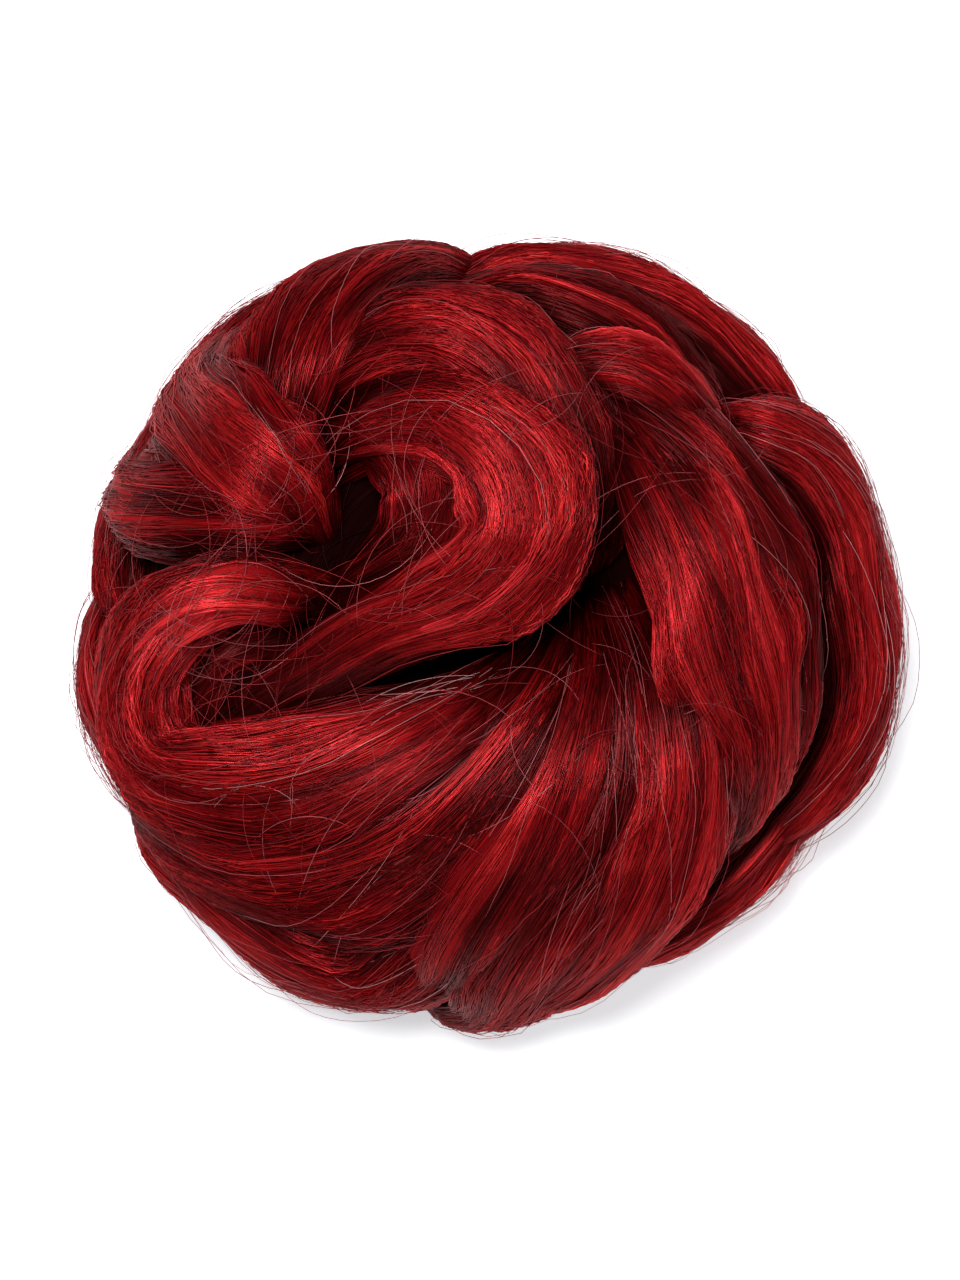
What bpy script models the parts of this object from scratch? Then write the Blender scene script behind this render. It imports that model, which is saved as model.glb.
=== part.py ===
"""Top knot hairpiece: a ring of false hair tresses dressed over an elastic band, resting on its underside.

Metres, +Z up. The origin is on the surface it rests on, under the middle of the bun.
Each tress is a soft tapered lock that lies in its own groove in the hair under it.
"""

import math
from collections import namedtuple

import bmesh
import bpy
from mathutils import Vector

# Driving sizes.
BUN_RADIUS = 0.0635
BUN_HEIGHT = 0.0564
TRESS_WIDTH = 0.0196
TRESS_THICKNESS = 0.0122
BAND_OPENING_RADIUS = 0.017
BAND_CORD_RADIUS = 0.003
BAND_HEIGHT = 0.009
PIECE_GAP = 0.0003
BED_GAP = 0.0008

# How far the tresses are moved, as shares of the bun's radius, to bring its middle over the band.
SHIFT_ACROSS = -0.0147
SHIFT_ALONG = -0.0278

# How far the band's cord stands out of the hair that it is sewn into.
BAND_PROUD = 0.0022

# The rounds of a tress: corners of a section, sections for each row of its table, and its ridges.
TRESS_SIDES = 8
SECTIONS_PER_ROW = 2
RIDGES = 3
RIDGE_DEPTH = 0.07
RIDGE_TURN = 1.6
TIP_RING = 0.62

# Turned pieces.
RING_STEPS = 24
TRESS_KEPT_SHARE = 0.7
BED_KEPT_SHARE = 0.42
CORD_SIDES = 8

# Where the surface of the bun turns from top to side, as shares of its radius and height.
CREST_SHARE = 0.42
RIM_SHARE = 0.93
RIM_LEVEL = 0.30
CREST_LEVEL = 0.90
INWARD_LEAN = 0.3

HAIR_RED = (0.30, 0.012, 0.018, 1.0)
UNDER_HAIR_RED = (0.13, 0.005, 0.010, 1.0)
BAND_RED = (0.07, 0.006, 0.010, 1.0)

# A station of a tress: plan position as shares of the bun's radius, level as a share of its height,
# then width and thickness as shares of a full tress.
Station = namedtuple("Station", "across along level width thickness")

# From the tress that lies on top to the one that lies lowest.
TRESSES = {
    "crown_curl": [
        (-0.36, 0.42, 0.60, 0.45, 0.60),
        (-0.22, 0.48, 0.77, 0.75, 0.80),
        (-0.07, 0.46, 0.87, 1.00, 1.00),
        (0.05, 0.36, 0.90, 1.30, 1.10),
        (0.09, 0.20, 0.91, 1.42, 1.15),
        (0.03, 0.07, 0.88, 1.15, 1.10),
        (-0.13, 0.00, 0.82, 0.72, 0.95),
        (-0.28, -0.04, 0.76, 0.56, 0.80),
        (-0.43, -0.09, 0.69, 0.52, 0.70),
        (-0.58, -0.16, 0.60, 0.45, 0.60),
    ],
    "crown_arc": [
        (-0.38, 0.55, 0.58, 0.50, 0.70),
        (-0.32, 0.63, 0.68, 0.80, 0.85),
        (-0.19, 0.69, 0.75, 1.00, 1.00),
        (-0.03, 0.69, 0.79, 1.05, 1.05),
        (0.10, 0.61, 0.81, 1.00, 1.05),
        (0.20, 0.48, 0.82, 0.95, 1.00),
        (0.26, 0.34, 0.78, 0.75, 0.90),
        (0.28, 0.20, 0.66, 0.50, 0.70),
    ],
    "right_arc": [
        (0.17, 0.57, 0.68, 0.35, 0.50),
        (0.25, 0.62, 0.77, 0.50, 0.70),
        (0.37, 0.62, 0.80, 0.60, 0.75),
        (0.48, 0.56, 0.78, 0.60, 0.75),
        (0.56, 0.47, 0.71, 0.50, 0.70),
        (0.61, 0.38, 0.60, 0.35, 0.50),
    ],
    "lower_right_blade": [
        (0.40, 0.08, 0.60, 0.40, 0.60),
        (0.46, -0.10, 0.74, 0.55, 0.85),
        (0.49, -0.29, 0.79, 0.70, 0.95),
        (0.49, -0.46, 0.76, 0.85, 1.00),
        (0.44, -0.61, 0.68, 0.95, 1.00),
        (0.36, -0.72, 0.54, 0.90, 0.95),
        (0.25, -0.81, 0.38, 0.75, 0.85),
        (0.12, -0.87, 0.24, 0.50, 0.60),
    ],
    "right_fall": [
        (0.29, 0.55, 0.66, 0.50, 0.70),
        (0.42, 0.40, 0.78, 0.85, 0.95),
        (0.52, 0.22, 0.84, 1.05, 1.05),
        (0.59, 0.04, 0.84, 1.15, 1.10),
        (0.63, -0.13, 0.80, 1.20, 1.10),
        (0.64, -0.28, 0.72, 1.05, 1.00),
        (0.61, -0.41, 0.60, 0.85, 0.90),
        (0.56, -0.51, 0.48, 0.50, 0.60),
    ],
    "left_curl": [
        (-0.33, 0.06, 0.52, 0.45, 0.60),
        (-0.45, 0.05, 0.67, 0.60, 0.80),
        (-0.60, 0.04, 0.74, 0.75, 0.90),
        (-0.73, -0.04, 0.72, 0.90, 0.95),
        (-0.79, -0.17, 0.66, 0.95, 1.00),
        (-0.74, -0.31, 0.62, 1.05, 1.00),
        (-0.58, -0.41, 0.66, 1.15, 1.05),
        (-0.38, -0.41, 0.72, 1.08, 1.05),
        (-0.18, -0.34, 0.75, 0.90, 1.00),
        (0.02, -0.21, 0.70, 0.72, 0.90),
        (0.17, -0.07, 0.56, 0.45, 0.70),
    ],
    "left_fan_upper": [
        (-0.66, 0.70, 0.50, 0.50, 0.60),
        (-0.68, 0.58, 0.60, 0.90, 0.80),
        (-0.60, 0.47, 0.70, 1.10, 1.00),
        (-0.50, 0.36, 0.76, 1.05, 1.00),
        (-0.41, 0.28, 0.74, 0.80, 0.90),
        (-0.34, 0.22, 0.60, 0.50, 0.70),
    ],
    "left_fan_lower": [
        (-0.88, 0.41, 0.42, 0.60, 0.70),
        (-0.80, 0.33, 0.55, 0.90, 0.90),
        (-0.66, 0.26, 0.67, 1.20, 1.00),
        (-0.52, 0.19, 0.75, 1.15, 1.00),
        (-0.40, 0.15, 0.74, 0.80, 0.90),
        (-0.33, 0.14, 0.62, 0.50, 0.70),
    ],
    "bottom_fall": [
        (0.34, 0.06, 0.58, 0.40, 0.60),
        (0.39, -0.14, 0.73, 0.60, 0.85),
        (0.38, -0.35, 0.77, 0.85, 1.00),
        (0.32, -0.52, 0.72, 1.05, 1.00),
        (0.23, -0.68, 0.60, 1.15, 1.00),
        (0.13, -0.80, 0.42, 1.15, 0.95),
        (0.05, -0.88, 0.28, 0.95, 0.80),
        (-0.05, -0.88, 0.18, 0.60, 0.60),
    ],
    "bottom_sweep": [
        (0.29, 0.04, 0.58, 0.40, 0.60),
        (0.31, -0.16, 0.72, 0.60, 0.85),
        (0.26, -0.38, 0.76, 0.90, 1.00),
        (0.16, -0.56, 0.70, 1.10, 1.05),
        (0.03, -0.70, 0.58, 1.15, 1.00),
        (-0.08, -0.79, 0.42, 1.00, 0.90),
        (-0.17, -0.84, 0.26, 0.60, 0.70),
    ],
    "lower_left_sweep": [
        (-0.80, -0.42, 0.40, 0.50, 0.60),
        (-0.68, -0.53, 0.50, 0.90, 0.80),
        (-0.50, -0.60, 0.56, 1.20, 1.00),
        (-0.30, -0.61, 0.62, 1.30, 1.05),
        (-0.11, -0.54, 0.68, 1.20, 1.05),
        (0.06, -0.39, 0.74, 1.00, 1.00),
        (0.18, -0.22, 0.74, 0.80, 0.90),
        (0.25, -0.03, 0.60, 0.50, 0.70),
    ],
    "right_fall_outer": [
        (0.22, 0.58, 0.62, 0.40, 0.60),
        (0.36, 0.53, 0.72, 0.70, 0.85),
        (0.50, 0.42, 0.78, 0.85, 0.95),
        (0.62, 0.27, 0.78, 0.90, 1.00),
        (0.70, 0.11, 0.75, 0.90, 1.00),
        (0.73, -0.07, 0.70, 0.85, 1.00),
        (0.72, -0.24, 0.62, 0.80, 0.95),
        (0.66, -0.38, 0.50, 0.70, 0.80),
        (0.58, -0.49, 0.38, 0.45, 0.60),
    ],
    "top_left_fall": [
        (0.00, 0.90, 0.40, 0.50, 0.70),
        (-0.12, 0.92, 0.46, 0.80, 0.90),
        (-0.28, 0.86, 0.56, 1.15, 1.00),
        (-0.41, 0.73, 0.65, 1.25, 1.00),
        (-0.46, 0.56, 0.68, 1.00, 0.90),
        (-0.43, 0.43, 0.60, 0.60, 0.80),
        (-0.36, 0.34, 0.45, 0.40, 0.60),
    ],
    "top_right_arc": [
        (-0.02, 0.82, 0.60, 0.40, 0.60),
        (0.12, 0.83, 0.62, 0.70, 0.80),
        (0.28, 0.79, 0.62, 0.85, 0.90),
        (0.42, 0.71, 0.60, 0.85, 0.90),
        (0.52, 0.60, 0.56, 0.70, 0.80),
        (0.58, 0.52, 0.50, 0.45, 0.60),
    ],
    "right_rim": [
        (0.56, 0.46, 0.54, 0.45, 0.60),
        (0.68, 0.49, 0.62, 0.75, 0.85),
        (0.81, 0.43, 0.58, 0.95, 0.95),
        (0.90, 0.29, 0.50, 1.05, 1.00),
        (0.94, 0.12, 0.44, 1.10, 1.00),
        (0.94, -0.06, 0.40, 1.05, 1.00),
        (0.90, -0.22, 0.36, 0.95, 0.95),
        (0.81, -0.37, 0.32, 0.80, 0.85),
        (0.70, -0.50, 0.28, 0.50, 0.60),
    ],
    "lower_left_rim": [
        (-0.78, -0.47, 0.28, 0.60, 0.70),
        (-0.70, -0.57, 0.30, 0.90, 0.90),
        (-0.57, -0.68, 0.32, 1.10, 0.95),
        (-0.41, -0.77, 0.33, 1.20, 1.00),
        (-0.24, -0.81, 0.36, 1.15, 1.00),
        (-0.09, -0.74, 0.46, 1.00, 1.00),
        (0.03, -0.62, 0.56, 0.85, 0.95),
        (0.12, -0.47, 0.58, 0.60, 0.80),
    ],
    "top_right_rim": [
        (-0.05, 0.88, 0.44, 0.45, 0.60),
        (0.08, 0.92, 0.42, 0.80, 0.85),
        (0.25, 0.92, 0.40, 1.05, 0.95),
        (0.43, 0.86, 0.38, 1.15, 1.00),
        (0.60, 0.75, 0.36, 1.15, 1.00),
        (0.72, 0.62, 0.36, 0.95, 0.90),
        (0.81, 0.49, 0.34, 0.60, 0.70),
    ],
    "upper_left_rim": [
        (-0.10, 0.91, 0.26, 0.60, 0.70),
        (-0.36, 0.88, 0.30, 0.95, 0.90),
        (-0.58, 0.77, 0.34, 1.05, 0.95),
        (-0.73, 0.60, 0.36, 0.95, 0.95),
        (-0.82, 0.43, 0.36, 0.90, 0.95),
        (-0.88, 0.27, 0.34, 0.80, 0.90),
        (-0.87, 0.12, 0.32, 0.70, 0.80),
        (-0.80, 0.00, 0.30, 0.50, 0.60),
    ],
    "left_rim_loop": [
        (-0.86, 0.16, 0.30, 0.40, 0.50),
        (-0.93, 0.05, 0.30, 0.60, 0.70),
        (-0.94, -0.08, 0.30, 0.75, 0.80),
        (-0.90, -0.21, 0.29, 0.75, 0.80),
        (-0.82, -0.33, 0.27, 0.65, 0.70),
        (-0.72, -0.43, 0.25, 0.50, 0.60),
    ],
    "lower_right_rim": [
        (0.90, -0.14, 0.20, 0.50, 0.60),
        (0.85, -0.29, 0.22, 0.80, 0.80),
        (0.74, -0.45, 0.24, 0.95, 0.90),
        (0.63, -0.58, 0.24, 1.00, 0.90),
        (0.50, -0.68, 0.24, 0.90, 0.85),
        (0.37, -0.74, 0.22, 0.60, 0.70),
    ],
}

# The hair under the tresses, turned round the opening: how far out from its wall towards the bun's
# radius, and how high as a share of the bun's height. It closes over the opening at two levels on the
# bun's axis, the ceiling of the hollow and the floor of the crown. Its rows go from one to the other.
HOLLOW_CEILING = 0.44
CROWN_FLOOR = 0.55
Turn = namedtuple("Turn", "out level")
UNDER_HAIR = [
    (-0.20, 0.43),
    (-0.05, 0.38),
    (0.00, 0.28),
    (0.00, 0.09),
    (0.06, 0.00),
    (0.62, 0.00),
    (0.72, 0.02),
    (0.82, 0.12),
    (0.84, 0.28),
    (0.77, 0.45),
    (0.62, 0.60),
    (0.42, 0.66),
    (0.20, 0.64),
    (-0.05, 0.58),
]


def clear_scene():
    for old in list(bpy.data.objects):
        bpy.data.objects.remove(old)


def make_collection(name):
    made = bpy.data.collections.new(name)
    bpy.context.scene.collection.children.link(made)
    return made


def make_material(name, colour, roughness):
    made = bpy.data.materials.new(name)
    made.use_nodes = True
    shader = made.node_tree.nodes["Principled BSDF"]
    shader.inputs["Base Color"].default_value = colour
    shader.inputs["Roughness"].default_value = roughness
    shader.inputs["Metallic"].default_value = 0.0
    return made


def between(before, start, end, after, share):
    """A smooth value between start and end, led by the values on either side."""
    rise_in = (end - before) / 2
    rise_out = (after - start) / 2
    square, cube = share**2, share**3
    return (
        (2 * cube - 3 * square + 1) * start
        + (cube - 2 * square + share) * rise_in
        + (3 * square - 2 * cube) * end
        + (cube - square) * rise_out
    )


def stations_of(rows):
    """The rows of a tress's table with smooth stations between them."""
    last = len(rows) - 1
    made = []
    for step in range(last * SECTIONS_PER_ROW + 1):
        row = min(step // SECTIONS_PER_ROW, last - 1)
        share = step / SECTIONS_PER_ROW - row
        around = [rows[max(0, min(last, row + k))] for k in (-1, 0, 1, 2)]
        made.append(Station(*(between(*values, share) for values in zip(*around))))
    return made


def place_of(station):
    return Vector(
        (
            (station.across + SHIFT_ACROSS) * BUN_RADIUS,
            (station.along + SHIFT_ALONG) * BUN_RADIUS,
            station.level * BUN_HEIGHT,
        )
    )


def outward_at(station):
    """The way the bun's surface faces at a station: up on the crest, out at the rim."""
    reach = math.hypot(station.across, station.along)
    out = (reach - CREST_SHARE) / (RIM_SHARE - CREST_SHARE)
    up = (station.level - RIM_LEVEL) / (CREST_LEVEL - RIM_LEVEL)
    if out < 0:
        out *= INWARD_LEAN
    radial = Vector((station.across, station.along, 0)) / max(reach, 0.05)
    return (radial * out + Vector((0, 0, 1)) * up).normalized()


def section(centre, wide, deep, half_width, half_thickness, turn):
    """One round of a tress: an ellipse with shallow ridges that wind along it."""
    corners = []
    for side in range(TRESS_SIDES):
        angle = 2 * math.pi * side / TRESS_SIDES
        ridge = 1 + RIDGE_DEPTH * math.cos(RIDGES * angle + turn)
        corners.append(
            centre
            + wide * (half_width * ridge * math.cos(angle))
            + deep * (half_thickness * ridge * math.sin(angle))
        )
    return corners


def tress_rounds(rows, grow):
    """The sections of a tress from tip to tip, and its two end points."""
    stations = stations_of(rows)
    places = [place_of(station) for station in stations]
    last = len(stations) - 1
    rounds, ends = [], []
    for index, station in enumerate(stations):
        along = (places[min(index + 1, last)] - places[max(index - 1, 0)]).normalized()
        wide = along.cross(outward_at(station)).normalized()
        deep = wide.cross(along)
        half_width = station.width * TRESS_WIDTH / 2 + grow
        half_thickness = station.thickness * TRESS_THICKNESS / 2 + grow
        turn = RIDGE_TURN * index
        body = (places[index], wide, deep, half_width, half_thickness, turn)
        if index in (0, last):
            way = along if index else -along
            tip = (
                places[index] + way * half_thickness * TIP_RING,
                wide,
                deep,
                half_width * TIP_RING,
                half_thickness * TIP_RING,
                turn,
            )
            ends.append(places[index] + way * half_thickness)
            rounds += [body, tip] if index else [tip, body]
        else:
            rounds.append(body)
    return [section(*values) for values in rounds], ends


def loft(name, rounds, ends, collection):
    """A closed body through the rounds, with a point at each end."""
    body = bmesh.new()
    rings = [[body.verts.new(corner) for corner in corners] for corners in rounds]
    first, last = (body.verts.new(end) for end in ends)
    sides = len(rings[0])
    for ring, following in zip(rings, rings[1:]):
        for side in range(sides):
            ahead = (side + 1) % sides
            body.faces.new((ring[side], ring[ahead], following[ahead]))
            body.faces.new((ring[side], following[ahead], following[side]))
    for side in range(sides):
        ahead = (side + 1) % sides
        body.faces.new((first, rings[0][ahead], rings[0][side]))
        body.faces.new((last, rings[-1][side], rings[-1][ahead]))
    bmesh.ops.recalc_face_normals(body, faces=body.faces)
    return finish_mesh(name, body, collection)


def finish_mesh(name, body, collection):
    mesh = bpy.data.meshes.new(name)
    body.to_mesh(mesh)
    body.free()
    made = bpy.data.objects.new(name, mesh)
    collection.objects.link(made)
    return made


def make_tress(name, rows, collection, grow=0.0):
    rounds, ends = tress_rounds(rows, grow)
    return loft(name, rounds, ends, collection)


def hide_cutter(cutter):
    cutter.hide_render = True
    cutter.display_type = "WIRE"


def volume_of(faces):
    total = 0.0
    for face in faces:
        a, b, c = (corner.co for corner in face.verts)
        total += a.dot(b.cross(c)) / 6
    return total


def bodies_of(mesh):
    """The faces of each separate body in a mesh."""
    left = set(mesh.faces)
    bodies = []
    while left:
        reached = [left.pop()]
        for face in reached:
            for edge in face.edges:
                for other in edge.link_faces:
                    if other in left:
                        left.remove(other)
                        reached.append(other)
        bodies.append(reached)
    return bodies


def nest(piece, cutters, kept_share):
    """Cuts the grooves in which the cutters' tresses lie, and drops the wisps cut loose."""
    plain_faces = len(piece.data.polygons)
    groove = piece.modifiers.new("grooves", "BOOLEAN")
    groove.operation = "DIFFERENCE"
    groove.solver = "EXACT"
    groove.operand_type = "COLLECTION"
    groove.collection = cutters
    seen = piece.evaluated_get(bpy.context.evaluated_depsgraph_get())
    body = bmesh.new()
    body.from_mesh(bpy.data.meshes.new_from_object(seen))
    bmesh.ops.triangulate(body, faces=body.faces)
    bodies = sorted(bodies_of(body), key=volume_of)
    loose = [face for wisp in bodies[:-1] for face in wisp]
    bmesh.ops.delete(body, geom=loose, context="FACES")
    piece.modifiers.clear()
    body.to_mesh(piece.data)
    body.free()
    faces = len(piece.data.polygons)
    thin = piece.modifiers.new("thin_out", "DECIMATE")
    thin.ratio = (plain_faces + kept_share * (faces - plain_faces)) / faces
    thin.use_collapse_triangulate = True


def make_under_hair(collection):
    """The bed of hair under the tresses, a profile turned round the opening."""
    wall = BAND_OPENING_RADIUS + BAND_PROUD
    body = bmesh.new()
    points = [body.verts.new((0, 0, HOLLOW_CEILING * BUN_HEIGHT))]
    for row in UNDER_HAIR:
        turn = Turn(*row)
        out = wall + turn.out * (BUN_RADIUS - wall)
        points.append(body.verts.new((out, 0, turn.level * BUN_HEIGHT)))
    points.append(body.verts.new((0, 0, CROWN_FLOOR * BUN_HEIGHT)))
    for start, end in zip(points, points[1:]):
        body.edges.new((start, end))
    made = finish_mesh("under_hair", body, collection)
    turned = made.modifiers.new("turn", "SCREW")
    turned.steps = turned.render_steps = RING_STEPS
    turned.use_merge_vertices = True
    turned.merge_threshold = 0.00001
    turned.use_normal_calculate = True
    return made


def make_band(name, cord_radius, collection):
    """The elastic that the hair is sewn round, a plain ring of round cord."""
    bpy.ops.mesh.primitive_torus_add(
        major_radius=BAND_OPENING_RADIUS + BAND_CORD_RADIUS,
        minor_radius=cord_radius,
        major_segments=RING_STEPS,
        minor_segments=CORD_SIDES,
        location=(0, 0, BAND_HEIGHT),
    )
    made = bpy.context.object
    made.name = name
    for owner in list(made.users_collection):
        owner.objects.unlink(made)
    collection.objects.link(made)
    return made


def dress(piece, material):
    piece.data.materials.clear()
    piece.data.materials.append(material)
    piece.data.shade_smooth()


def main():
    clear_scene()
    parts = make_collection("top_knot_hairpiece")
    cutters = make_collection("cutters")
    bed_cutters = make_collection("bed_cutters")
    hair = make_material("hair", HAIR_RED, 0.42)
    under = make_material("under_hair", UNDER_HAIR_RED, 0.55)
    elastic = make_material("elastic", BAND_RED, 0.85)

    for name, rows in TRESSES.items():
        tress = make_tress(name, rows, parts)
        if cutters.objects:
            nest(tress, cutters, TRESS_KEPT_SHARE)
        dress(tress, hair)
        make_tress(name + "_groove", rows, cutters, PIECE_GAP)
        make_tress(name + "_bed", rows, bed_cutters, BED_GAP)

    band = make_band("elastic_band", BAND_CORD_RADIUS, parts)
    dress(band, elastic)
    make_band("band_bed", BAND_CORD_RADIUS + BED_GAP, bed_cutters)

    bed = make_under_hair(parts)
    nest(bed, bed_cutters, BED_KEPT_SHARE)
    dress(bed, under)
    for cutter in list(cutters.objects) + list(bed_cutters.objects):
        hide_cutter(cutter)


main()
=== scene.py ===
import math

import bpy
import numpy as np
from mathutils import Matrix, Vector
from mathutils.bvhtree import BVHTree


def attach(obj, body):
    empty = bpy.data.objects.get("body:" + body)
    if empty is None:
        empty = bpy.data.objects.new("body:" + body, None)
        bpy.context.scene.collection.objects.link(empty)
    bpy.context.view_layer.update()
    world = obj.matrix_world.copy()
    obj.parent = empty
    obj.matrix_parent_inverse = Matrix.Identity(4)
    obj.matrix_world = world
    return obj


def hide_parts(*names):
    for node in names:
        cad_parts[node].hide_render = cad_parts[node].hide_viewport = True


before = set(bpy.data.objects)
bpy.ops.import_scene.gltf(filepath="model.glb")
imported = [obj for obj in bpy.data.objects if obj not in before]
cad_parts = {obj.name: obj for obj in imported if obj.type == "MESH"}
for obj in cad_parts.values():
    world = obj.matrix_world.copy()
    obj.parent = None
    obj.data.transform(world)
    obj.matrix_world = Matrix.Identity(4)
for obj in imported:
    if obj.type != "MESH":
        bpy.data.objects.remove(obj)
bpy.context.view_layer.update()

# The CAD's own sizes, in metres, which the tresses of the scene follow.
BUN_RADIUS = 0.0635
BUN_HEIGHT = 0.0564
TRESS_WIDTH = 0.0196
TRESS_THICKNESS = 0.0122
BAND_OPENING_RADIUS = 0.017
BAND_CORD_RADIUS = 0.003
BAND_HEIGHT = 0.009
BAND_PROUD = 0.0022
SHIFT = np.array((-0.0147, -0.0278))
CREST_SHARE = 0.42
RIM_SHARE = 0.93
RIM_LEVEL = 0.30
CREST_LEVEL = 0.90
INWARD_LEAN = 0.3
RIDGES = 3
RIDGE_DEPTH = 0.07
RIDGE_TURN = 3.2

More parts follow.
